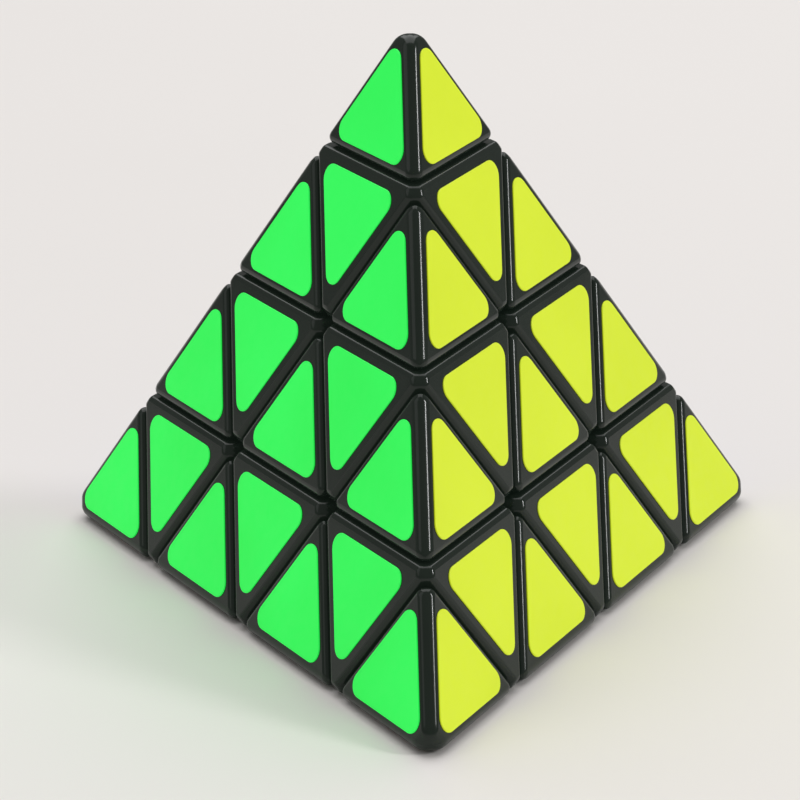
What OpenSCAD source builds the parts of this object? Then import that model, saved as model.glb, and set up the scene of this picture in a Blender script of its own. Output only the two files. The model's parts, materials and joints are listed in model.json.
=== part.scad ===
// Four-layer pyramid twisty puzzle, standing on one face.
// Every piece is one cell of a tetrahedron sliced by twelve planes, with the
// ring tongues, grooves and bores that let it turn and hold it to the core.
// The four corners are numbered 0 top, 1 front, 2 right and 3 left.
// A level along the axis of a corner counts layers from the middle of the core:
// -1 is the face opposite that corner and 3 is the sharp corner itself.

/* [Pyramid] */
// Length of one edge between the sharp corners
edge_l = 98; // [94:1:104]
// Gap between two neighbouring pieces
play = 0.2; // [0.15:0.05:0.3]
// Setback of the flat that blunts each outer ridge
ridge_setback = 1.6; // [1:0.1:2]
// Height taken off each sharp corner
corner_cut = 3.8; // [3:0.1:5]
// Setback of the bevels that form the grooves between pieces
groove_setback = 0.65; // [0.4:0.05:0.9]

/* [Stickers] */
// Side of a sticker before its corners are rounded
sticker_l = 18; // [16:0.5:19]
// Corner radius of a sticker
sticker_corner_r = 1.6; // [1:0.1:2.4]
// Thickness of a sticker
sticker_t = 0.15; // [0.1:0.05:0.3]
// Thickness of the glue under a sticker
glue_t = 0.02; // [0.02:0.01:0.05]

/* [Core] */
// Radius of the ball in the middle of the core
ball_r = 9.2; // [8.8:0.1:9.6]
// Radius of the four arms of the core
arm_r = 2.4; // [2.2:0.1:2.6]
// Radial clearance of the bores that turn on the arms
bore_play = 0.1; // [0.05:0.01:0.1]
// Reach of an arm past the inner pivot
arm_past_pivot = 2; // [1.5:0.25:2.5]
// Radius of the screw shanks
screw_r = 1.25; // [1.1:0.05:1.35]
// Depth of the screw hole in an arm
screw_hole_l = 11; // [10:0.5:11.5]
// Radius of the screw heads
head_r = 3; // [2.8:0.1:3.4]
// Thickness of the screw heads
head_t = 2; // [1.8:0.1:2.4]
// Radius of the washers
washer_r = 3.9; // [3.7:0.1:4.3]
// Thickness of the washers
washer_t = 0.6; // [0.4:0.1:0.8]

/* [Springs] */
// Mean radius of the spring coils
spring_r = 2.9; // [2.7:0.1:3.1]
// Radius of the spring wire
wire_r = 0.3; // [0.25:0.05:0.35]
// Length of a spring as fitted
spring_l = 6; // [5.5:0.25:6.5]
// Number of coils in a spring
spring_turns = 4.5; // [3.5:0.5:5]

/* [Tracks] */
// Inner radius of the ring tongues on the deep cuts
deep_ring_r = 12.5; // [12.3:0.1:12.8]
// Width of the ring tongues on the deep cuts
deep_ring_w = 3; // [2.5:0.1:3.2]
// Inner radius of the hooked ring tongues under the corners
hook_ring_r = 9.3; // [9.1:0.1:9.5]
// Width of the hooked ring tongues at the top
hook_ring_w = 2.2; // [2:0.1:2.4]
// Height of every ring tongue
ring_h = 2; // [1.8:0.1:2.2]
// Clearance of every ring tongue in its groove
ring_play = 0.25; // [0.2:0.05:0.3]

/* [Tip snaps] */
// Radius of the snap stem under a tip
stem_r = 4.35; // [4.2:0.05:4.5]
// Wall of the snap stem
stem_wall = 1.2; // [1:0.1:1.4]
// Length of the snap stem
stem_l = 3.8; // [3.6:0.1:4.2]
// Overhang of the snap lip
lip_w = 0.5; // [0.4:0.05:0.55]
// Width of the slots that let the stem flex
slot_w = 0.8; // [0.6:0.1:1]

/* [Hidden] */
layer_h = edge_l / 4 * sqrt(2 / 3);
half_gap = play / 2;
centre_z = layer_h + glue_t + sticker_t;
reach = 2 * edge_l;
tilt = acos(-1 / 3);
headings = [90, -90, 30, 150];
top = 0;
front = 1;
right = 2;
left = 3;
corners = [top, front, right, left];
open = 9;
face_share = 1 / 3;
level_share = 3 / 4;
ball_play = 0.3;
root_l = 1;
tongue_inset = 0.3;
inner_setback = 1.2;
crossing_play = 0.1;
crossing_depth = ring_h + 2 * ring_play + crossing_play;
crossing_r = deep_ring_r + deep_ring_w + 3 * ring_play;
arm_root = 6;
arm_end = layer_h + arm_past_pivot;
seat_rise = 4;
seat_level = layer_h + seat_rise;
pocket_r = 5.2;
stem_play = 0.2;
throat_r = stem_r + stem_play;
throat_l = 2.2;
socket_top = 2 * layer_h;
spring_base = seat_level + half_gap;
thread_play = 0.05;
washer_base = spring_base + spring_l + thread_play;
washer_hole_r = screw_r + 2 * thread_play;
head_base = washer_base + washer_t;
screw_end_gap = 0.5;
screw_tip = arm_end - screw_hole_l + screw_end_gap;
drive_w = 0.7;
drive_l = 3.2;
drive_depth = 1;
head_edge = 0.5;
hook_undercut = 0.55;
lip_h = 1;
lip_lead = 0.5;
wire_half_turn = 360 * wire_r * spring_turns / spring_l;
wire_steps = 2;
wire_blunt = 1.02;
slices_per_turn = 12;
spring_slices = spring_turns * slices_per_turn;
black = [0.1, 0.11, 0.11];
core_grey = [0.75, 0.76, 0.74];
steel = [0.7, 0.71, 0.73];
spring_steel = [0.55, 0.56, 0.58];
face_colours = [[0.85, 0.1, 0.1], [0.1, 0.3, 0.85], [0.2, 0.95, 0.35], [0.85, 0.95, 0.25]];
$fn = 48;
ring_fn = 72;
ball_fn = 60;
small_fn = 24;
sticker_fn = 16;

// Unit vector from the middle of the core towards a corner
function axis(corner) = corner == top ? [0, 0, 1]
    : [sin(tilt) * cos(headings[corner]), sin(tilt) * sin(headings[corner]), cos(tilt)];

// Height along the axis of a corner of the underside and the upper side of a cell
function floor_of(level) = level * layer_h + (level == -1 ? 0 : half_gap);
function roof_of(level) = level * layer_h - half_gap;

// The frame of one corner: the middle of the core, with Z towards the corner
module at_axis(corner) {
    translate([0, 0, centre_z])
        rotate([0, corner == top ? 0 : tilt, headings[corner]])
            children();
}

// Everything between two heights along the axis of a corner
module slab(corner, low, high) {
    at_axis(corner)
        translate([-reach / 2, -reach / 2, low])
            cube([reach, reach, high - low]);
}

// Everything past a distance from the middle of the core in one direction
module beyond(direction, limit) {
    unit = direction / norm(direction);
    translate([0, 0, centre_z])
        rotate([0, acos(unit[2]), atan2(unit[1], unit[0])])
            translate([-reach / 2, -reach / 2, limit])
                cube([reach, reach, reach]);
}

// What a bevel takes off the edge between two faces, given by normals and distances
module bevel(normal_a, distance_a, normal_b, distance_b, setback) {
    both = normal_a + normal_b;
    spread = norm(both);
    beyond(both, (distance_a + distance_b) / spread - setback * sqrt(1 - spread * spread / 4));
}

// One cell between the lower and upper levels given for each corner, with its bevels
module cell(lows, highs) {
    outer = [for (k = corners) if (lows[k] == -1) k];
    difference() {
        intersection_for (k = corners)
            slab(k, floor_of(lows[k]), highs[k] == open ? reach / 2 : roof_of(highs[k]));
        for (f = outer)
            for (k = corners)
                if (k != f && highs[k] != open)
                    bevel(-axis(f), layer_h, axis(k), roof_of(highs[k]), groove_setback);
        for (f = outer)
            for (k = corners)
                if (lows[k] > -1 && highs[k] == open)
                    bevel(-axis(f), layer_h, -axis(k), -floor_of(lows[k]), groove_setback);
        for (f = outer)
            for (g = outer)
                if (g > f)
                    bevel(-axis(f), layer_h, -axis(g), layer_h, ridge_setback);
    }
}

// The ball at the middle of the core with room to turn
module ball_room() {
    translate([0, 0, centre_z])
        sphere(r = ball_r + ball_play, $fn = ball_fn);
}

// The hole that turns on the arm of one corner
module arm_bore(corner) {
    at_axis(corner)
        cylinder(r = arm_r + bore_play, h = socket_top);
}

// A square ring round the axis of a corner, grown by a clearance, standing on its deep cut
module deep_ring(corner, low, grow) {
    at_axis(corner)
        rotate_extrude($fn = ring_fn)
            polygon([
                [deep_ring_r - grow, low],
                [deep_ring_r + deep_ring_w + grow, low],
                [deep_ring_r + deep_ring_w + grow, ring_h + grow],
                [deep_ring_r - grow, ring_h + grow]
            ]);
}

// A hooked ring round the axis of a corner, wider at its top, standing on the corner cut
module hook_ring(corner, low, grow) {
    hook_out = hook_ring_r + hook_ring_w + grow;
    at_axis(corner)
        translate([0, 0, layer_h])
            rotate_extrude($fn = ring_fn)
                polygon([
                    [hook_ring_r + hook_undercut - grow, low],
                    [hook_out - hook_undercut, low],
                    [hook_out - hook_undercut, 0],
                    [hook_out, ring_h + grow],
                    [hook_ring_r - grow, ring_h + grow],
                    [hook_ring_r + hook_undercut - grow, 0]
                ]);
}

// The part of a ring tongue that one cell may carry: this far past the cuts it stands
// above, and this far short of the cuts it lies below
module kept_between(lows, highs, corner, above_l, below_l) {
    intersection() {
        children();
        intersection_for (k = [for (c = corners) if (c != corner) c])
            slab(k, lows[k] == 0 ? above_l : -reach / 2, roof_of(highs[k]) - below_l);
    }
}

// The tongues a cell carries on the deep cuts that it lies below
module deep_tongues(carried, lows, highs) {
    for (k = carried)
        kept_between(lows, highs, k, ring_h + 2 * ring_play, root_l + tongue_inset)
            deep_ring(k, -root_l, 0);
}

// The tongues a cell carries on the corner cuts that it lies below
module hook_tongues(carried, lows, highs) {
    for (k = carried)
        kept_between(lows, highs, k, half_gap + tongue_inset, tongue_inset)
            hook_ring(k, -root_l, 0);
}

// The relief where the tracks of two corners cross inside a centre
module track_crossing(corner_a, corner_b) {
    intersection() {
        slab(corner_a, -root_l, crossing_depth);
        slab(corner_b, -root_l, crossing_depth);
        translate([0, 0, centre_z])
            sphere(r = crossing_r, $fn = ball_fn);
    }
}

// One sticker with its corners pointing towards or away from the corners of its face
module sticker(face, levels, upright) {
    spot = [0, 0, centre_z] + level_share * layer_h * (levels * [for (k = corners) axis(k)]);
    corner_out = sticker_l / sqrt(3) - 2 * sticker_corner_r;
    side_out = sticker_l / sqrt(12);
    side_in = side_out - sticker_corner_r;
    run = sticker_l / 2 - sticker_corner_r * sqrt(3);
    spins = [0, 120, 240];
    color(face_colours[face])
        translate(spot)
            rotate([0, face == top ? 0 : tilt, headings[face]])
                translate([0, 0, -glue_t - sticker_t])
                    linear_extrude(sticker_t)
                        rotate(upright ? 180 : 0) {
                            for (a = spins)
                                rotate(a)
                                    translate([corner_out, 0])
                                        circle(r = sticker_corner_r, $fn = sticker_fn);
                            for (a = spins)
                                rotate(a)
                                    translate([-side_out, -run])
                                        square([side_out, 2 * run]);
                            for (a = spins)
                                rotate(a)
                                    polygon([[0, 0], [-side_in, -run], [-side_in, run]]);
                        }
}

// Levels list with one value for some corners and another for the rest
function levels_of(chosen, inside, outside) =
    [for (k = corners) search(k, chosen) == [] ? outside : inside];

// The tip at a corner, with the slotted stem that snaps into the axial below it
module tip(corner) {
    others = [for (k = corners) if (k != corner) k];
    lip_base = socket_top - throat_l - half_gap;
    color(black) {
        difference() {
            cell(levels_of([corner], 2, -1), [open, open, open, open]);
            slab(corner, 3 * layer_h - corner_cut, reach / 2);
        }
        difference() {
            at_axis(corner)
                rotate_extrude()
                    polygon([
                        [stem_r - stem_wall, socket_top - stem_l],
                        [stem_r, socket_top - stem_l],
                        [stem_r + lip_w, lip_base - lip_h + lip_lead],
                        [stem_r + lip_w, lip_base - half_gap],
                        [stem_r, lip_base - half_gap],
                        [stem_r, socket_top + root_l],
                        [stem_r - stem_wall, socket_top + root_l]
                    ]);
            at_axis(corner)
                for (a = [0, 90])
                    rotate(a)
                        translate([-reach / 4, -slot_w / 2, socket_top - stem_l - root_l])
                            cube([reach / 2, slot_w, stem_l + half_gap]);
        }
    }
    for (f = others)
        sticker(
            f,
            [for (k = corners) k == corner ? 2 + face_share : k == f ? -1 : -2 * face_share],
            true
        );
}

// The axial under a tip: turns on the core arm and houses the spring and the screw head
module axial(corner) {
    others = [for (k = corners) if (k != corner) k];
    color(black)
        difference() {
            cell(levels_of([corner], 1, -1), levels_of([corner], 2, 0));
            arm_bore(corner);
            at_axis(corner)
                translate([0, 0, seat_level])
                    cylinder(r = pocket_r, h = socket_top - throat_l - seat_level);
            at_axis(corner)
                translate([0, 0, seat_level])
                    cylinder(r = throat_r, h = socket_top);
            hook_ring(corner, -root_l, ring_play);
        }
    for (f = others)
        sticker(
            f,
            [for (k = corners) k == corner ? 2 - face_share : k == f ? -1 : -face_share],
            false
        );
}

// The wing beside an axial, on the edge from one corner towards another
module wing(corner, towards) {
    sides = [for (k = corners) if (k != corner && k != towards) k];
    color(black)
        difference() {
            cell([for (k = corners) k == corner ? 1 : k == towards ? 0 : -1], [open, open, open, open]);
            hook_ring(corner, -root_l, ring_play);
        }
    for (f = sides)
        sticker(
            f,
            [for (k = corners)
                k == corner ? 1 + face_share : k == towards ? face_share : k == f ? -1 : -2 * face_share],
            true
        );
}

// The middle piece of the edge between two corners
module mid_edge(corner_a, corner_b) {
    ends = [corner_a, corner_b];
    sides = [for (k = corners) if (k != corner_a && k != corner_b) k];
    lows = levels_of(ends, 0, -1);
    highs = levels_of(ends, 1, 0);
    color(black)
        difference() {
            union() {
                cell(lows, highs);
                deep_tongues(sides, lows, highs);
                hook_tongues(ends, lows, highs);
            }
            for (k = ends)
                deep_ring(k, -root_l, ring_play);
            ball_room();
        }
    for (f = sides)
        sticker(f, [for (k = corners) k == f ? -1 : lows[k] == 0 ? 2 * face_share : -face_share], false);
}

// The single-colour piece in the middle of a face
module centre(face) {
    others = [for (k = corners) if (k != face) k];
    color(black)
        difference() {
            cell(levels_of([face], -1, 0), [open, open, open, open]);
            for (k = others)
                for (n = others)
                    if (n > k)
                        bevel(-axis(k), -half_gap, -axis(n), -half_gap, inner_setback);
            for (k = others)
                for (n = others)
                    if (n > k)
                        track_crossing(k, n);
            ball_room();
            for (k = others)
                intersection() {
                    deep_ring(k, -root_l, ring_play);
                    intersection_for (n = [for (c = others) if (c != k) c])
                        slab(n, crossing_depth - tongue_inset, reach / 2);
                }
        }
    sticker(face, [for (k = corners) k == face ? -1 : face_share], true);
}

// The hidden pivot between the ball of the core and an axial
module inner_pivot(corner) {
    others = [for (k = corners) if (k != corner) k];
    lows = levels_of([corner], 0, -1);
    highs = levels_of([corner], 1, 0);
    color(black)
        difference() {
            union() {
                intersection_for (k = corners)
                    slab(k, -reach / 2, roof_of(highs[k]));
                deep_tongues(others, lows, highs);
                hook_tongues([corner], lows, highs);
            }
            arm_bore(corner);
            ball_room();
        }
}

// The core: a ball with an arm towards every corner, each drilled for its screw
module core_spider() {
    color(core_grey)
        difference() {
            union() {
                translate([0, 0, centre_z])
                    sphere(r = ball_r, $fn = ball_fn);
                for (k = corners)
                    at_axis(k)
                        translate([0, 0, arm_root])
                            cylinder(r = arm_r, h = arm_end - arm_root);
            }
            for (k = corners)
                at_axis(k)
                    translate([0, 0, arm_end - screw_hole_l])
                        cylinder(r = screw_r + thread_play, h = screw_hole_l + root_l, $fn = small_fn);
        }
}

// The four screws, with a cross recess in every head
module core_screws() {
    color(steel)
        for (k = corners)
            at_axis(k)
                difference() {
                    union() {
                        translate([0, 0, screw_tip])
                            cylinder(r = screw_r, h = head_base - screw_tip + root_l, $fn = small_fn);
                        translate([0, 0, head_base])
                            rotate_extrude($fn = small_fn)
                                polygon([
                                    [0, 0],
                                    [head_r, 0],
                                    [head_r, head_t - head_edge],
                                    [head_r - head_edge, head_t],
                                    [0, head_t]
                                ]);
                    }
                    for (a = [0, 90])
                        rotate(a)
                            translate([-drive_l / 2, -drive_w / 2, head_base + head_t - drive_depth])
                                cube([drive_l, drive_w, head_t]);
                }
}

// The four washers under the screw heads
module core_washers() {
    color(steel)
        for (k = corners)
            at_axis(k)
                translate([0, 0, washer_base])
                    difference() {
                        cylinder(r = washer_r, h = washer_t - thread_play, $fn = 2 * small_fn);
                        translate([0, 0, -root_l])
                            cylinder(r = washer_hole_r, h = washer_t + 2 * root_l, $fn = small_fn);
                    }
}

// The four springs that press the axials towards the core
module core_springs() {
    steps = [for (i = [-wire_steps:wire_steps]) i / wire_steps];
    color(spring_steel)
        for (k = corners)
            at_axis(k)
                translate([0, 0, spring_base])
                    linear_extrude(
                        spring_l,
                        twist = -360 * spring_turns,
                        slices = spring_slices,
                        segments = 1
                    )
                        polygon(concat(
                            [for (s = steps) (spring_r + wire_r * sqrt(wire_blunt - s * s))
                                * [cos(wire_half_turn * s), sin(wire_half_turn * s)]],
                            [for (s = steps) (spring_r - wire_r * sqrt(wire_blunt - s * s))
                                * [cos(wire_half_turn * s), -sin(wire_half_turn * s)]]
                        ));
}

module inner_pivot_top() {
    inner_pivot(top);
}

module inner_pivot_front() {
    inner_pivot(front);
}

module inner_pivot_right() {
    inner_pivot(right);
}

module inner_pivot_left() {
    inner_pivot(left);
}

module axial_top() {
    axial(top);
}

module axial_front() {
    axial(front);
}

module axial_right() {
    axial(right);
}

module axial_left() {
    axial(left);
}

module tip_top() {
    tip(top);
}

module tip_front() {
    tip(front);
}

module tip_right() {
    tip(right);
}

module tip_left() {
    tip(left);
}

module wing_top_front() {
    wing(top, front);
}

module wing_top_right() {
    wing(top, right);
}

module wing_top_left() {
    wing(top, left);
}

module wing_front_top() {
    wing(front, top);
}

module wing_front_right() {
    wing(front, right);
}

module wing_front_left() {
    wing(front, left);
}

module wing_right_top() {
    wing(right, top);
}

module wing_right_front() {
    wing(right, front);
}

module wing_right_left() {
    wing(right, left);
}

module wing_left_top() {
    wing(left, top);
}

module wing_left_front() {
    wing(left, front);
}

module wing_left_right() {
    wing(left, right);
}

module mid_edge_top_front() {
    mid_edge(top, front);
}

module mid_edge_top_right() {
    mid_edge(top, right);
}

module mid_edge_top_left() {
    mid_edge(top, left);
}

module mid_edge_front_right() {
    mid_edge(front, right);
}

module mid_edge_front_left() {
    mid_edge(front, left);
}

module mid_edge_right_left() {
    mid_edge(right, left);
}

module centre_left_face() {
    centre(right);
}

module centre_right_face() {
    centre(left);
}

module centre_back_face() {
    centre(front);
}

module centre_base_face() {
    centre(top);
}

core_spider();
core_screws();
core_washers();
core_springs();
inner_pivot_top();
inner_pivot_front();
inner_pivot_right();
inner_pivot_left();
axial_top();
axial_front();
axial_right();
axial_left();
tip_top();
tip_front();
tip_right();
tip_left();
wing_top_front();
wing_top_right();
wing_top_left();
wing_front_top();
wing_front_right();
wing_front_left();
wing_right_top();
wing_right_front();
wing_right_left();
wing_left_top();
wing_left_front();
wing_left_right();
mid_edge_top_front();
mid_edge_top_right();
mid_edge_top_left();
mid_edge_front_right();
mid_edge_front_left();
mid_edge_right_left();
centre_left_face();
centre_right_face();
centre_back_face();
centre_base_face();
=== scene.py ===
import itertools
import json
import math

import bmesh
import bpy
from mathutils import Matrix, Vector


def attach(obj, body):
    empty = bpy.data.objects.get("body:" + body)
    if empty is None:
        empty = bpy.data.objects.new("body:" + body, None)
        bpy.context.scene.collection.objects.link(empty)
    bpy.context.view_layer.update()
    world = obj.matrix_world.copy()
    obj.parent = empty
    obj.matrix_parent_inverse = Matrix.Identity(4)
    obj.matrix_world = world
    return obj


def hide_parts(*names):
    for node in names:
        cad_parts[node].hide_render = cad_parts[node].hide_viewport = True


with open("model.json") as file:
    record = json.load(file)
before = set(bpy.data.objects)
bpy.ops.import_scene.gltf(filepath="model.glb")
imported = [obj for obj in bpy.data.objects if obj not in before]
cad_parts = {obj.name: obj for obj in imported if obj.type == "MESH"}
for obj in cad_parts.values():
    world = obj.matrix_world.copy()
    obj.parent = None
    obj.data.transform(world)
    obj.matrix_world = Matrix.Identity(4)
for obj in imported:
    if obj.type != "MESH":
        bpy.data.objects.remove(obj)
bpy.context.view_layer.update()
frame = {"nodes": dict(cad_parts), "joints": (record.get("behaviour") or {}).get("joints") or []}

# The looks of the pyramid twisty puzzle. Lengths are millimetres until a mesh is made, and every
# place is worked out from the joints of the CAD frame: its middle and the axes of its four corners.

MM = 0.001
JOINTS = {joint["name"]: joint for joint in frame["joints"]}
CORNERS = ["top", "front", "right", "left"]
CENTRE = Vector(JOINTS["deep_turn_top"]["pos_m"]) / MM
AXES = {corner: Vector(JOINTS["deep_turn_" + corner]["axis"]).normalized() for corner in CORNERS}
FACE_OPPOSITE = {"top": "base", "front": "back", "right": "left", "left": "right"}

# Sizes that repeat those of the CAD model
STICKER_T = 0.17
LAYER = CENTRE.z - STICKER_T
HALF_GAP = 0.1
BALL_ROOM_R = 9.5
BORE_R = 2.5
SEAT_LEVEL = LAYER + 4
POCKET_R = 5.2
THROAT_R = 4.55
THROAT_L = 2.2
DEEP_RING = (12.5, 15.5)
HOOK_RING = (9.3, 11.5)
HOOK_UNDERCUT = 0.55
RING_H = 2.0
RING_PLAY = 0.25
ROOT_L = 1.0
TONGUE_INSET = 0.3
INNER_SETBACK = 1.2
CROSSING_DEPTH = 2.6
CROSSING_R = 16.25
STEM_R = 4.35
STEM_WALL = 1.2
STEM_L = 3.8
LIP_W = 0.5
LIP_LEAD = 0.6
SLOT_W = 0.8
SPRING_R = 2.9
WIRE_R = 0.3
SPRING_L = 6.0
SPRING_TURNS = 4.5

# Roundings of the moulded pieces
RIDGE_R = 1.4
RIM_R = 0.95
INNER_R = 0.95
NOSE_CUT = 1.15
STAR_CUT = 1.25
TIP_CUT = 3.8
DOME_FACE_R = 1.88
DOME_RIDGE_R = 2.7

# How finely the round parts are divided
ROUND_SEGMENTS = 6
CIRCLE_STEPS = 128
BALL_SPLITS = 4
TIP_ARC_STEPS = 31
TIP_BEND_STEPS = 10
STICKER_ARC_STEPS = 8
COIL_STEPS = 28
WIRE_SIDES = 10

# Limits that keep the loops of a tip open and rounded where its dome closes
LEAST_HALF_WIDTH = 0.01
LEAST_CORNER_R = 0.005
ROUNDEST_CORNER = 0.95

# Stickers: side of an upright and of an inverted one, and how far a ridge pushes one aside
UPRIGHT_L = 17.9
INVERTED_L = 18.7
STICKER_R = 1.7
RIDGE_SHIFT = 0.33

# The rim of a sticker is bevelled: its top shrinks by the bevel over its reach from the middle
STICKER_EDGE_R = 0.05
STICKER_REACH = 6

# An upright sticker whose middle is lower than this level lies against the ridge below it
BESIDE_RIDGE = -0.6

# Heights of a point along the four corner axes, times this share of the axes, add up to the point
LEVEL_SHARE = 0.75

# Edges sharper than these are drawn crisp
SHELL_SHARP = math.radians(40)
STICKER_SHARP = math.radians(30)
WIRE_SHARP = math.radians(60)

# The floor lies this far below the resting face, so that the two never share a plane
FLOOR_GAP = 0.05

# The level of a side that a cell does not have, and of a side that lies on the outer face
OPEN = None
OUTER = -1

# Differences too small to count when planes and points are compared
NO_VOLUME = 1e-6
OVERSHOOT = 1e-5
SAME_PLACE = 1e-4


def others_than(*corners):
    """The corners that are left, in their usual order."""
    return [corner for corner in CORNERS if corner not in corners]


def chosen(corners, inside, outside):
    """A level for each corner: one value for the chosen corners and another for the rest."""
    return {corner: inside if corner in corners else outside for corner in CORNERS}


# ---------------------------------------------------------------- geometry

def link(mesh, name):
    """A new object that shows the mesh."""
    thing = bpy.data.objects.new(name, mesh)
    bpy.context.scene.collection.objects.link(thing)
    return thing


def baked(thing):
    """The mesh of an object with its modifiers applied; the object itself goes."""
    bpy.context.view_layer.update()
    shown = thing.evaluated_get(bpy.context.evaluated_depsgraph_get())
    mesh = bpy.data.meshes.new_from_object(shown)
    bpy.data.objects.remove(thing)
    return mesh


def joined(base, tool, operation):
    """Two meshes combined by a boolean."""
    target = link(base, "target")
    other = link(tool, "other")
    cut = target.modifiers.new("cut", "BOOLEAN")
    cut.operation = operation
    cut.solver = "MANIFOLD"
    cut.object = other
    mesh = baked(target)
    bpy.data.objects.remove(other)
    return mesh


def finished(mesh, name):
    """A Blender mesh from a bmesh, with its normals facing out."""
    bmesh.ops.recalc_face_normals(mesh, faces=mesh.faces)
    data = bpy.data.meshes.new(name)
    mesh.to_mesh(data)
    mesh.free()
    return data


def spoke(angle):
    """The level unit vector at an angle."""
    return Vector((math.cos(angle), math.sin(angle), 0))


def along(corner):
    """The rotation that takes Z to a corner's axis."""
    return AXES[corner].to_track_quat("Z", "X").to_matrix()


def skin(mesh, loops):
    """Faces between each loop of vertices and the next."""
    for low, high in zip(loops, loops[1:]):
        for index in range(len(low)):
            after = (index + 1) % len(low)
            mesh.faces.new([low[index], low[after], high[after], high[index]])


def skin_and_caps(mesh, loops):
    """Faces between the loops and over both ends."""
    skin(mesh, loops)
    mesh.faces.new(list(reversed(loops[0])))
    mesh.faces.new(loops[-1])


def rounded_triangle(headings, reach, radius, steps):
    """The outline of a triangle whose rounded corners point along the headings, as three arcs."""
    points = []
    for heading in headings:
        middle = spoke(heading) * reach
        for step in range(steps + 1):
            angle = heading + (step / steps - 0.5) * math.tau / 3
            points.append(middle + spoke(angle) * radius)
    return points


def solid_between(planes):
    """The closed solid inside planes, each a normal, a distance from the centre and a kind.

    It comes with the kind of plane that each of its faces lies on."""
    found = []
    for trio in itertools.combinations(planes, 3):
        rows = Matrix([plane[0] for plane in trio])
        if abs(rows.determinant()) < NO_VOLUME:
            continue
        point = rows.inverted() @ Vector([plane[1] for plane in trio])
        inside = all(normal.dot(point) <= distance + OVERSHOOT for normal, distance, kind in planes)
        if inside and all((point - other).length > SAME_PLACE for other in found):
            found.append(point)
    mesh = bmesh.new()
    verts = [mesh.verts.new((CENTRE + point) * MM) for point in found]
    kinds = {}
    for normal, distance, kind in planes:
        ring = [
            vert for vert, point in zip(verts, found)
            if abs(normal.dot(point) - distance) < SAME_PLACE
        ]
        if len(ring) < 3:
            continue
        middle = sum((vert.co for vert in ring), Vector()) / len(ring)
        across = (ring[0].co - middle).normalized()
        up = normal.cross(across)
        ring.sort(key=lambda vert: math.atan2(
            (vert.co - middle).dot(up), (vert.co - middle).dot(across)
        ))
        kinds[mesh.faces.new(ring)] = kind
    return mesh, kinds


def block(planes):
    """The mesh of the solid inside planes."""
    return finished(solid_between(planes)[0], "block")


def revolved(corner, profile):
    """The closed ring made by turning a profile of radius and height round a corner's axis."""
    turn = along(corner)
    mesh = bmesh.new()
    loops = []
    for step in range(CIRCLE_STEPS):
        out = spoke(math.tau * (step + 0.5) / CIRCLE_STEPS)
        loops.append([
            mesh.verts.new((CENTRE + turn @ (out * radius + Vector((0, 0, height)))) * MM)
            for radius, height in profile
        ])
    skin(mesh, loops + loops[:1])
    return finished(mesh, "revolved")


def plug(corner, radius, low, high):
    """A cylinder round a corner's axis between two heights."""
    mesh = bmesh.new()
    place = Matrix.Translation((CENTRE + AXES[corner] * (low + high) / 2) * MM) @ along(corner).to_4x4()
    bmesh.ops.create_cone(
        mesh, cap_ends=True, segments=CIRCLE_STEPS // 2, radius1=radius * MM, radius2=radius * MM,
        depth=(high - low) * MM, matrix=place,
    )
    return finished(mesh, "plug")


def ball(radius):
    """A ball round the centre."""
    mesh = bmesh.new()
    place = Matrix.Translation(CENTRE * MM)
    bmesh.ops.create_icosphere(mesh, subdivisions=BALL_SPLITS, radius=radius * MM, matrix=place)
    return finished(mesh, "ball")


def deep_ring(corner, grow):
    """The square ring of a deep cut, grown by a clearance."""
    inner, outer = DEEP_RING
    low, high = -ROOT_L, RING_H + grow
    return revolved(corner, [
        (inner - grow, low), (outer + grow, low),
        (outer + grow, high), (inner - grow, high),
    ])


def hook_ring(corner, grow):
    """The hooked ring of a corner cut, grown by a clearance."""
    inner, outer = HOOK_RING
    low, high = LAYER - ROOT_L, LAYER + RING_H + grow
    return revolved(corner, [
        (inner + HOOK_UNDERCUT - grow, low), (outer - HOOK_UNDERCUT + grow, low),
        (outer - HOOK_UNDERCUT + grow, LAYER), (outer + grow, high),
        (inner - grow, high), (inner + HOOK_UNDERCUT - grow, LAYER),
    ])


# ---------------------------------------------------------------- cells

def cell_planes(lows, highs):
    """The planes of one cell of the sliced pyramid, from its lowest and highest level at each corner."""
    planes = []
    for corner in CORNERS:
        if lows[corner] == OUTER:
            planes.append((-AXES[corner], LAYER, "outer"))
        elif lows[corner] is not OPEN:
            planes.append((-AXES[corner], -(lows[corner] * LAYER + HALF_GAP), "cut"))
        if highs[corner] is not OPEN:
            planes.append((AXES[corner], highs[corner] * LAYER - HALF_GAP, "cut"))
    return planes + nose_planes(planes, highs)


def nose_planes(planes, highs):
    """The small flats that blunt the corners of an octahedral cell where they show."""
    if any(highs[corner] is OPEN for corner in CORNERS):
        return []
    low_side = dict(zip(CORNERS, planes[0::2]))
    high_side = dict(zip(CORNERS, planes[1::2]))
    noses = []
    for pair in itertools.combinations(CORNERS, 2):
        below = [low_side[corner] for corner in pair]
        above = [high_side[corner] for corner in CORNERS if corner not in pair]
        outer_count = sum(plane[2] == "outer" for plane in below)
        if outer_count == 0:
            continue
        both = below[0][0] + below[1][0]
        reach = min(below[0][1] + below[1][1], above[0][1] + above[1][1]) / both.length
        depth = NOSE_CUT if outer_count == 2 else STAR_CUT
        noses.append((both.normalized(), reach - depth, "nose"))
    return noses


def rounding(kind_a, kind_b):
    """The radius of the edge between two kinds of plane."""
    kinds = {kind_a, kind_b}
    if kinds == {"outer"}:
        return RIDGE_R
    if "outer" in kinds or "nose" in kinds:
        return RIM_R
    return INNER_R


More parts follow.
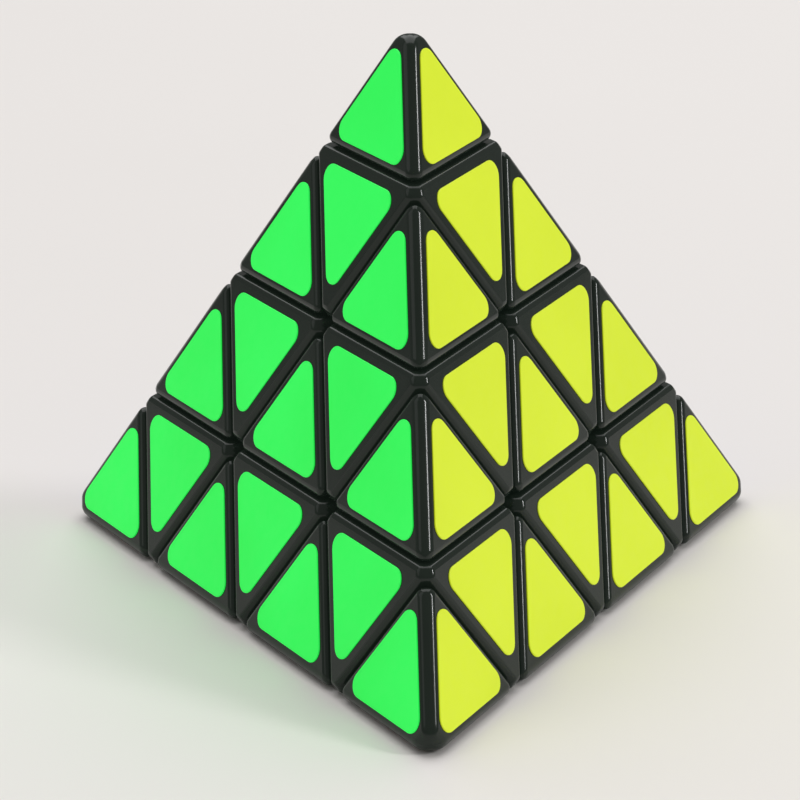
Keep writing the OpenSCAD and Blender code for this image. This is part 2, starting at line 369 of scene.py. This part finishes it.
def moulded(planes):
    """The cell inside the planes with every edge rounded."""
    mesh, kinds = solid_between(planes)
    weights = mesh.edges.layers.float.new("bevel_weight_edge")
    setbacks = {}
    for edge in mesh.edges:
        one, other = edge.link_faces
        one.normal_update()
        other.normal_update()
        half_angle = (math.pi - one.normal.angle(other.normal)) / 2
        setbacks[edge] = rounding(kinds[one], kinds[other]) / math.tan(half_angle)
    widest = max(setbacks.values())
    for edge, setback in setbacks.items():
        edge[weights] = setback / widest
    thing = link(finished(mesh, "cell"), "cell")
    bevel = thing.modifiers.new("round", "BEVEL")
    bevel.limit_method = "WEIGHT"
    bevel.offset_type = "OFFSET"
    bevel.width = widest * MM
    bevel.segments = ROUND_SEGMENTS
    bevel.use_clamp_overlap = False
    return baked(thing)


def tongue(ring, lows, highs, corner, above, below):
    """The part of a ring that a cell carries, kept clear of the other cuts.

    It stays above a middle cut by one clearance and below the upper side of the cell by the other."""
    planes = []
    for other in others_than(corner):
        if lows[other] == 0:
            planes.append((-AXES[other], -above, "cut"))
        planes.append((AXES[other], highs[other] * LAYER - HALF_GAP - below, "cut"))
    planes += [(AXES[corner], 2 * LAYER, "cut"), (-AXES[corner], LAYER / 2, "cut")]
    return joined(ring, block(planes), "INTERSECT")


def filleted(height, low, high, run, slope, low_r, high_r):
    """Half width at a height of a profile that narrows from a base to a blunt top.

    run is the half width the straight flank would have at the base and slope its loss for each
    millimetre of height. The flank meets the base in one fillet and the top in another."""
    flank = math.hypot(1, slope)
    base_centre = run - slope * low_r - low_r * flank
    top_centre = run - slope * (high - high_r - low) - high_r * flank
    if height < low + low_r * (1 + slope / flank):
        return base_centre + math.sqrt(max(0, low_r ** 2 - (low + low_r - height) ** 2))
    if height > high - high_r * (1 - slope / flank):
        return top_centre + math.sqrt(max(0, high_r ** 2 - (height - high + high_r) ** 2))
    return run - slope * (height - low)


def tip_heights(low, high):
    """Levels of the loops of a tip: close together where it curves."""
    bends = [math.pi / 2 * step / TIP_BEND_STEPS for step in range(TIP_BEND_STEPS + 1)]
    below = [low + 2 * RIM_R * (1 - math.cos(bend)) for bend in bends]
    above = [high - DOME_RIDGE_R * (1 - math.cos(bend)) for bend in reversed(bends)]
    return below + above


def tip_body():
    """The blunt corner pyramid of a tip: loops shaped like rounded triangles, from base to dome.

    A face leans in by face_slope and a ridge by twice that. In a level cut, rounding a ridge
    takes ridge_depth off its sharp corner."""
    low = 2 * LAYER + HALF_GAP
    high = 3 * LAYER - TIP_CUT
    face_slope = 1 / (2 * math.sqrt(2))
    ridge_depth = RIDGE_R * (math.sqrt(3) - 1) * math.sqrt(1.5)
    face_run = face_slope * (3 * LAYER - low)
    ridge_run = 2 * face_run - ridge_depth
    headings = sorted(math.atan2(AXES[corner].y, AXES[corner].x) for corner in others_than("top"))
    mesh = bmesh.new()
    loops = []
    for height in tip_heights(low, high):
        inner = filleted(height, low, high, face_run, face_slope, RIM_R, DOME_FACE_R)
        outer = filleted(height, low, high, ridge_run, 2 * face_slope, RIM_R, DOME_RIDGE_R)
        inner = max(inner, LEAST_HALF_WIDTH)
        radius = min(max(2 * inner - outer, LEAST_CORNER_R), ROUNDEST_CORNER * inner)
        outline = rounded_triangle(headings, 2 * (inner - radius), radius, TIP_ARC_STEPS)
        loops.append([
            mesh.verts.new((CENTRE + Vector((point.x, point.y, height))) * MM) for point in outline
        ])
    skin_and_caps(mesh, loops)
    return finished(mesh, "tip")


def tip_mesh():
    """A tip: the corner pyramid on a hollow snap stem, which two crossed slots cut into four."""
    body = tip_body()
    base = 2 * LAYER
    lip_top = base - THROAT_L - 2 * HALF_GAP
    stem = revolved("top", [
        (STEM_R - STEM_WALL, base - STEM_L), (STEM_R, base - STEM_L),
        (STEM_R + LIP_W, lip_top - LIP_LEAD), (STEM_R + LIP_W, lip_top),
        (STEM_R, lip_top), (STEM_R, base + ROOT_L), (STEM_R - STEM_WALL, base + ROOT_L),
    ])
    for turn in (0, math.pi / 2):
        mesh = bmesh.new()
        slot = Matrix.Translation((CENTRE + Vector((0, 0, base - STEM_L / 2 - ROOT_L))) * MM)
        size = Matrix.Diagonal((4 * STEM_R * MM, SLOT_W * MM, (STEM_L + 2 * HALF_GAP) * MM, 1))
        bmesh.ops.create_cube(mesh, size=1, matrix=slot @ Matrix.Rotation(turn, 4, "Z") @ size)
        stem = joined(stem, finished(mesh, "slot"), "DIFFERENCE")
    return joined(body, stem, "UNION")


def axial_mesh():
    """An axial, with its ring groove, bore, screw pocket and the socket of its tip."""
    body = moulded(cell_planes(chosen(["top"], 1, OUTER), chosen(["top"], 2, 0)))
    socket_top = 2 * LAYER
    for tool in (
        hook_ring("top", RING_PLAY),
        plug("top", BORE_R, 0, socket_top),
        plug("top", POCKET_R, SEAT_LEVEL, socket_top - THROAT_L),
        plug("top", THROAT_R, SEAT_LEVEL, socket_top + ROOT_L),
    ):
        body = joined(body, tool, "DIFFERENCE")
    return body


def wing_mesh():
    """A wing: a small tetrahedron, with its part of the ring groove."""
    lows = {"top": 1, "front": 0, "right": OUTER, "left": OUTER}
    body = moulded(cell_planes(lows, chosen([], OPEN, OPEN)))
    return joined(body, hook_ring("top", RING_PLAY), "DIFFERENCE")


def mid_edge_mesh():
    """A mid-edge, held by tongues in the grooves of its neighbours and hollowed round the core."""
    ends = ["top", "front"]
    lows = chosen(ends, 0, OUTER)
    highs = chosen(ends, 1, 0)
    body = moulded(cell_planes(lows, highs))
    for corner in CORNERS:
        if corner in ends:
            above = HALF_GAP + TONGUE_INSET
            held = tongue(hook_ring(corner, 0), lows, highs, corner, above, TONGUE_INSET)
        else:
            clear = RING_H + 2 * RING_PLAY
            held = tongue(deep_ring(corner, 0), lows, highs, corner, clear, ROOT_L + TONGUE_INSET)
        body = joined(body, held, "UNION")
    for corner in ends:
        body = joined(body, deep_ring(corner, RING_PLAY), "DIFFERENCE")
    return joined(body, ball(BALL_ROOM_R), "DIFFERENCE")


def crossing(one, other):
    """The relief where the tracks of two corners cross inside a centre."""
    planes = []
    for corner in (one, other):
        planes += [(AXES[corner], CROSSING_DEPTH, "cut"), (-AXES[corner], ROOT_L, "cut")]
    ends = AXES[one].cross(AXES[other]).normalized()
    planes += [(ends, 2 * LAYER, "cut"), (-ends, 2 * LAYER, "cut")]
    return joined(block(planes), ball(CROSSING_R), "INTERSECT")


def centre_mesh():
    """A face centre: a point towards the core, cut by three ring grooves and their crossings."""
    others = others_than("top")
    planes = cell_planes(chosen(["top"], OUTER, 0), chosen([], OPEN, OPEN))
    for one, other in itertools.combinations(others, 2):
        both = -AXES[one] - AXES[other]
        setback = INNER_SETBACK * math.sqrt(1 - both.length_squared / 4)
        planes.append((both.normalized(), -2 * HALF_GAP / both.length - setback, "cut"))
    body = moulded(planes)
    for one, other in itertools.combinations(others, 2):
        body = joined(body, crossing(one, other), "DIFFERENCE")
    body = joined(body, ball(BALL_ROOM_R), "DIFFERENCE")
    for corner in others:
        sides = [other for other in others if other != corner]
        bounds = [(-AXES[other], TONGUE_INSET - CROSSING_DEPTH, "cut") for other in sides]
        bounds += [(AXES[other], 2 * LAYER, "cut") for other in sides]
        bounds += [(AXES[corner], 2 * LAYER, "cut"), (-AXES[corner], LAYER, "cut")]
        groove = joined(deep_ring(corner, RING_PLAY), block(bounds), "INTERSECT")
        body = joined(body, groove, "DIFFERENCE")
    return body


def turn_to(corner, towards):
    """The rotation about the centre that takes the top and front corners to two given corners."""
    def basis(first, second):
        side = (AXES[second] - AXES[first] * AXES[first].dot(AXES[second])).normalized()
        return Matrix((AXES[first], side, AXES[first].cross(side))).transposed()
    turn = basis(corner, towards) @ basis("top", "front").inverted()
    place = Matrix.Translation(CENTRE * MM)
    return place @ turn.to_4x4() @ place.inverted()


# ---------------------------------------------------------------- materials

NOISE_RANGE = (0.35, 0.65)


def nodes_of(name):
    """A new material, its node tree and its shader."""
    material = bpy.data.materials.new(name)
    material.use_nodes = True
    tree = material.node_tree
    shader = tree.nodes["Principled BSDF"]
    return material, tree, shader


def noise(tree, scale, detail, roughness=0.5):
    """A noise texture in object space, in features a metre."""
    place = tree.nodes.new("ShaderNodeTexCoord")
    texture = tree.nodes.new("ShaderNodeTexNoise")
    texture.inputs["Scale"].default_value = scale
    texture.inputs["Detail"].default_value = detail
    texture.inputs["Roughness"].default_value = roughness
    tree.links.new(place.outputs["Object"], texture.inputs["Vector"])
    return texture.outputs["Fac"]


def ramp(tree, value, low, high):
    """A value spread between two colours, over the range that most of a noise lies in."""
    made = tree.nodes.new("ShaderNodeValToRGB")
    for element, position, colour in zip(made.color_ramp.elements, NOISE_RANGE, (low, high)):
        element.position = position
        element.color = colour
    tree.links.new(value, made.inputs["Fac"])
    return made.outputs["Color"]


def grey(value):
    """A grey as a colour."""
    return (value, value, value, 1)


def bump(tree, shader, layers):
    """Bumps on top of each other, each a height, its depth in millimetres and its strength."""
    last = None
    for height, depth, strength in layers:
        node = tree.nodes.new("ShaderNodeBump")
        node.inputs["Distance"].default_value = depth * MM
        node.inputs["Strength"].default_value = strength
        tree.links.new(height, node.inputs["Height"])
        if last is not None:
            tree.links.new(last, node.inputs["Normal"])
        last = node.outputs["Normal"]
    tree.links.new(last, shader.inputs["Normal"])


def black_plastic():
    """Moulded ABS with a fine eggshell grain, polished by handling, and a faint painted greenish glow.
    """
    material, tree, shader = nodes_of("black_abs")
    colour = ramp(tree, noise(tree, 55, 4), (0.008, 0.012, 0.009, 1), (0.011, 0.016, 0.012, 1))
    tree.links.new(colour, shader.inputs["Base Color"])
    handled = ramp(tree, noise(tree, 160, 5, 0.6), grey(0.12), grey(0.18))
    tree.links.new(handled, shader.inputs["Roughness"])
    shader.inputs["Specular IOR Level"].default_value = 0.28
    # A faint greenish painted glow lifts the black plastic everywhere, grooves too, in place of stray
    # light
    shader.inputs["Emission Color"].default_value = (0.6, 1.0, 0.7, 1)
    shader.inputs["Emission Strength"].default_value = 0.005
    bump(tree, shader, [(noise(tree, 2600, 2), 0.004, 0.1), (noise(tree, 320, 2), 0.02, 0.06)])
    return material


def vinyl(name, low, high, painted_glow):
    """Fluorescent vinyl film: an even colour with a slight orange peel, and a painted glow of its own
    colour that stands in for its fluorescence under the room light.
    """
    material, tree, shader = nodes_of(name)
    colour = ramp(tree, noise(tree, 40, 3), (*low, 1), (*high, 1))
    tree.links.new(colour, shader.inputs["Base Color"])
    # The colour also shines as a painted glow of the given strength, in place of the fluorescence that
    # the room light excites
    tree.links.new(colour, shader.inputs["Emission Color"])
    shader.inputs["Emission Strength"].default_value = painted_glow
    satin = ramp(tree, noise(tree, 700, 3), grey(0.34), grey(0.46))
    tree.links.new(satin, shader.inputs["Roughness"])
    bump(tree, shader, [(noise(tree, 2600, 2), 0.01, 0.15), (noise(tree, 220, 1), 0.03, 0.1)])
    return material


def nylon():
    """Matte moulded nylon of the core."""
    material, tree, shader = nodes_of("core_nylon")
    colour = ramp(tree, noise(tree, 90, 4), (0.6, 0.61, 0.58, 1), (0.7, 0.71, 0.68, 1))
    tree.links.new(colour, shader.inputs["Base Color"])
    dulled = ramp(tree, noise(tree, 500, 4), grey(0.5), grey(0.66))
    tree.links.new(dulled, shader.inputs["Roughness"])
    shader.inputs["Subsurface Weight"].default_value = 0.05
    bump(tree, shader, [(noise(tree, 3000, 3), 0.03, 0.25)])
    return material


def metal(name, low, high, rough_low, rough_high):
    """Zinc plating or drawn wire, with fine wear."""
    material, tree, shader = nodes_of(name)
    shader.inputs["Metallic"].default_value = 1.0
    colour = ramp(tree, noise(tree, 400, 5), low, high)
    tree.links.new(colour, shader.inputs["Base Color"])
    worn = ramp(tree, noise(tree, 1500, 4), grey(rough_low), grey(rough_high))
    tree.links.new(worn, shader.inputs["Roughness"])
    bump(tree, shader, [(noise(tree, 5000, 2), 0.01, 0.2)])
    return material


def face_vinyl(colour, low, high, painted_glow):
    """The vinyl of one face and its name."""
    name = colour + "_vinyl"
    return vinyl(name, low, high, painted_glow), name


BLACK = black_plastic()
NYLON = nylon()
ZINC = metal("zinc_plate", (0.52, 0.53, 0.56, 1), (0.66, 0.66, 0.68, 1), 0.22, 0.36)
WIRE = metal("spring_wire", (0.3, 0.3, 0.32, 1), (0.42, 0.42, 0.44, 1), 0.25, 0.4)
# The last value of each face is the strength of its painted glow, which stands in for fluorescence
FACE_VINYL = {
    "right": face_vinyl("green", (0.014, 0.8, 0.075), (0.017, 0.86, 0.09), painted_glow=0.52),
    "left": face_vinyl("yellow", (0.63, 0.77, 0.012), (0.665, 0.81, 0.018), painted_glow=0.24),
    "front": face_vinyl("blue", (0.006, 0.07, 0.56), (0.01, 0.09, 0.64), painted_glow=0.05),
    "top": face_vinyl("red", (0.66, 0.012, 0.012), (0.74, 0.02, 0.016), painted_glow=0.05),
}


# ---------------------------------------------------------------- pieces

def dress(mesh, material, sharp):
    """Give a mesh its material, smooth shading and crisp sharp edges."""
    mesh.materials.clear()
    mesh.materials.append(material)
    mesh.shade_smooth()
    mesh.set_sharp_from_angle(angle=sharp)


def piece(name, mesh, turn, body, node):
    """One plastic piece: a copy of its kind's mesh, turned into place, standing for its CAD node."""
    copy = mesh.copy()
    copy.transform(turn)
    dress(copy, BLACK, SHELL_SHARP)
    thing = link(copy, name + "_shell")
    weighted = thing.modifiers.new("even_shading", "WEIGHTED_NORMAL")
    weighted.keep_sharp = True
    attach(thing, body)
    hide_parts(node)


def sticker_outline(side):
    """The outline of a sticker that points along X."""
    headings = [arm * math.tau / 3 for arm in range(3)]
    return rounded_triangle(headings, side / math.sqrt(3) - 2 * STICKER_R, STICKER_R, STICKER_ARC_STEPS)


def in_face(corner, face):
    """The direction in a face that leads towards a corner."""
    normal = -AXES[face]
    return (AXES[corner] - normal * AXES[corner].dot(normal)).normalized()


def sticker_middle(face, levels, upright):
    """The middle of a sticker at the levels of its triangle, moved off a ridge that it lies against."""
    spot = CENTRE + sum(
        (AXES[corner] * (LEVEL_SHARE * LAYER * levels[corner]) for corner in CORNERS), Vector()
    )
    for corner in others_than(face):
        if upright and levels[corner] < BESIDE_RIDGE:
            spot += in_face(corner, face) * RIDGE_SHIFT
    return spot


def sticker(owner, face, levels, upright, body):
    """One vinyl sticker on an outer face of a piece, its middle at the given levels."""
    normal = -AXES[face]
    spot = sticker_middle(face, levels, upright)
    across = in_face(others_than(face)[0], face) * (1 if upright else -1)
    up = normal.cross(across)
    outline = sticker_outline(UPRIGHT_L if upright else INVERTED_L)
    mesh = bmesh.new()
    rings = []
    for inset, height in ((0, 0), (0, STICKER_T - STICKER_EDGE_R), (STICKER_EDGE_R, STICKER_T)):
        scale = 1 - inset / STICKER_REACH
        rings.append([
            mesh.verts.new((spot + (across * point.x + up * point.y) * scale + normal * height) * MM)
            for point in outline
        ])
    skin_and_caps(mesh, rings)
    material, slot_name = FACE_VINYL[face]
    data = finished(mesh, "sticker")
    dress(data, material, STICKER_SHARP)
    thing = link(data, f"{owner}_sticker_{FACE_OPPOSITE[face]}")
    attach(thing, body)


# The levels below are heights along the four corner axes, in layers from the centre. They add up
# to nothing, and the middle of a triangle lies at thirds of a layer between the cuts beside it.

def add_tips_and_axials():
    """The four tips and the four axials under them, with three stickers each."""
    tip, axial = tip_mesh(), axial_mesh()
    for corner in CORNERS:
        turn = turn_to(corner, others_than(corner)[0])
        piece("tip_" + corner, tip, turn, corner + "_tip", "tip_" + corner)
        piece("axial_" + corner, axial, turn, corner + "_corner", "axial_" + corner)
        for face in others_than(corner):
            levels = chosen([corner], 7 / 3, -2 / 3)
            levels[face] = OUTER
            sticker("tip_" + corner, face, levels, True, corner + "_tip")
            levels = chosen([corner], 5 / 3, -1 / 3)
            levels[face] = OUTER
            sticker("axial_" + corner, face, levels, False, corner + "_corner")


def add_wings():
    """Twelve wings: each beside the axial of one corner, on the edge towards another."""
    wing = wing_mesh()
    for corner, towards in itertools.permutations(CORNERS, 2):
        name = f"wing_{corner}_{towards}"
        piece(name, wing, turn_to(corner, towards), name, name)
        for face in others_than(corner, towards):
            levels = chosen([corner], 4 / 3, -2 / 3)
            levels.update({towards: 1 / 3, face: OUTER})
            sticker(name, face, levels, True, name)


def add_mid_edges():
    """Six mid-edges, one in the middle of each edge."""
    mid_edge = mid_edge_mesh()
    for corner, towards in itertools.combinations(CORNERS, 2):
        name = f"mid_edge_{corner}_{towards}"
        piece(name, mid_edge, turn_to(corner, towards), name, name)
        for face in others_than(corner, towards):
            levels = chosen([corner, towards], 2 / 3, -1 / 3)
            levels[face] = OUTER
            sticker(name, face, levels, False, name)


def add_centres():
    """Four face centres with one sticker each."""
    centre = centre_mesh()
    for face in CORNERS:
        name = f"centre_{FACE_OPPOSITE[face]}_face"
        piece(name, centre, turn_to(face, others_than(face)[0]), name, name)
        sticker(name, face, chosen([face], OUTER, 1 / 3), True, name)


def spring_mesh(corner):
    """A helix of round wire on a corner's seat, with open ends."""
    turn = along(corner)
    rise_axis = Vector((0, 0, 1))
    base = rise_axis * (SEAT_LEVEL + HALF_GAP)
    total = int(SPRING_TURNS * COIL_STEPS)
    mesh = bmesh.new()
    loops = []
    for step in range(total + 1):
        out = spoke(math.tau * step / COIL_STEPS)
        rise = WIRE_R + (SPRING_L - 2 * WIRE_R) * step / total
        middle = out * SPRING_R + rise_axis * rise
        angles = [math.tau * side / WIRE_SIDES for side in range(WIRE_SIDES)]
        rim = [(out * math.cos(angle) + rise_axis * math.sin(angle)) * WIRE_R for angle in angles]
        loops.append([mesh.verts.new((CENTRE + turn @ (middle + reach + base)) * MM) for reach in rim])
    skin_and_caps(mesh, loops)
    return finished(mesh, "spring")


def add_springs():
    """Four springs of round wire, one on each screw."""
    for corner in CORNERS:
        data = spring_mesh(corner)
        dress(data, WIRE, WIRE_SHARP)
        thing = link(data, "spring_" + corner)
        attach(thing, "core")
        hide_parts("core_springs")


def dress_cad_nodes():
    """Finishes for the CAD nodes that are shown as they are."""
    finishes = {"core_spider": NYLON, "core_screws": ZINC, "core_washers": ZINC}
    finishes.update({"inner_pivot_" + corner: BLACK for corner in CORNERS})
    for name, material in finishes.items():
        node = frame["nodes"][name]
        node.data.materials.clear()
        node.data.materials.append(material)


# ---------------------------------------------------------------- stage

FLOOR_REACH_M = 4
ROOM_LIGHT = 0.26

# The camera of the photograph, worked out from the corners of the pieces
CAMERA_PLACE = Vector((-11.9, -495.0, 218.4))
CAMERA_AIM = Vector((-2.0, -1.1, 26.7))
CAMERA_ROLL = math.radians(-0.9)
LENS_MM = 180.8


def add_floor():
    """A plain pale paper floor."""
    mesh = bmesh.new()
    place = Matrix.Translation((0, 0, -FLOOR_GAP * MM))
    bmesh.ops.create_grid(mesh, x_segments=1, y_segments=1, size=FLOOR_REACH_M, matrix=place)
    floor = link(finished(mesh, "floor"), "floor")
    material, tree, shader = nodes_of("paper")
    colour = ramp(tree, noise(tree, 3, 3), (0.78, 0.75, 0.73, 1), (0.80, 0.77, 0.75, 1))
    tree.links.new(colour, shader.inputs["Base Color"])
    shader.inputs["Roughness"].default_value = 0.55
    shader.inputs["Specular IOR Level"].default_value = 0.3
    floor.data.materials.append(material)


def add_light(name, azimuth, elevation, distance, width, height, power):
    """A soft white rectangle in metres and watts, aimed at the middle of the puzzle.

    Azimuth 0 is at the camera's side, and it grows towards the right."""
    heading = math.radians(azimuth)
    rise = math.radians(elevation)
    away = Vector((
        math.sin(heading) * math.cos(rise), -math.cos(heading) * math.cos(rise), math.sin(rise),
    ))
    lamp = bpy.data.lights.new(name, "AREA")
    lamp.shape = "RECTANGLE"
    lamp.size = width
    lamp.size_y = height
    lamp.energy = power
    thing = bpy.data.objects.new(name, lamp)
    bpy.context.scene.collection.objects.link(thing)
    thing.location = CENTRE * MM + away * distance
    thing.rotation_euler = away.to_track_quat("Z", "Y").to_euler()


def add_world():
    """A dim, even room."""
    world = bpy.data.worlds.new("studio")
    world.use_nodes = True
    background = world.node_tree.nodes["Background"]
    background.inputs["Color"].default_value = (1.0, 0.99, 0.975, 1)
    background.inputs["Strength"].default_value = ROOM_LIGHT
    bpy.context.scene.world = world


def add_camera():
    """The camera stands a little left of the front ridge and looks down on the puzzle."""
    forward = (CAMERA_AIM - CAMERA_PLACE).normalized()
    right = forward.cross(Vector((0, 0, 1))).normalized()
    up = right.cross(forward)
    tilted_right = right * math.cos(CAMERA_ROLL) + up * math.sin(CAMERA_ROLL)
    tilted_up = up * math.cos(CAMERA_ROLL) - right * math.sin(CAMERA_ROLL)
    turn = Matrix((tilted_right, tilted_up, -forward)).transposed()
    lens = bpy.data.cameras.new("camera")
    lens.lens = LENS_MM
    lens.clip_start = 0.01
    camera = bpy.data.objects.new("camera", lens)
    bpy.context.scene.collection.objects.link(camera)
    camera.matrix_world = Matrix.Translation(CAMERA_PLACE * MM) @ turn.to_4x4()
    bpy.context.scene.camera = camera


add_tips_and_axials()
add_wings()
add_mid_edges()
add_centres()
add_springs()
dress_cad_nodes()
add_floor()
add_world()
add_camera()
add_light("window", azimuth=72, elevation=31, distance=1.6, width=0.1, height=0.5, power=7.5)
add_light("left_fill", azimuth=-75, elevation=40, distance=1.6, width=1.0, height=1.0, power=2)
add_light("overhead", azimuth=180, elevation=66, distance=1.8, width=2.2, height=2.2, power=31)
bpy.context.scene.view_settings.view_transform = "Standard"
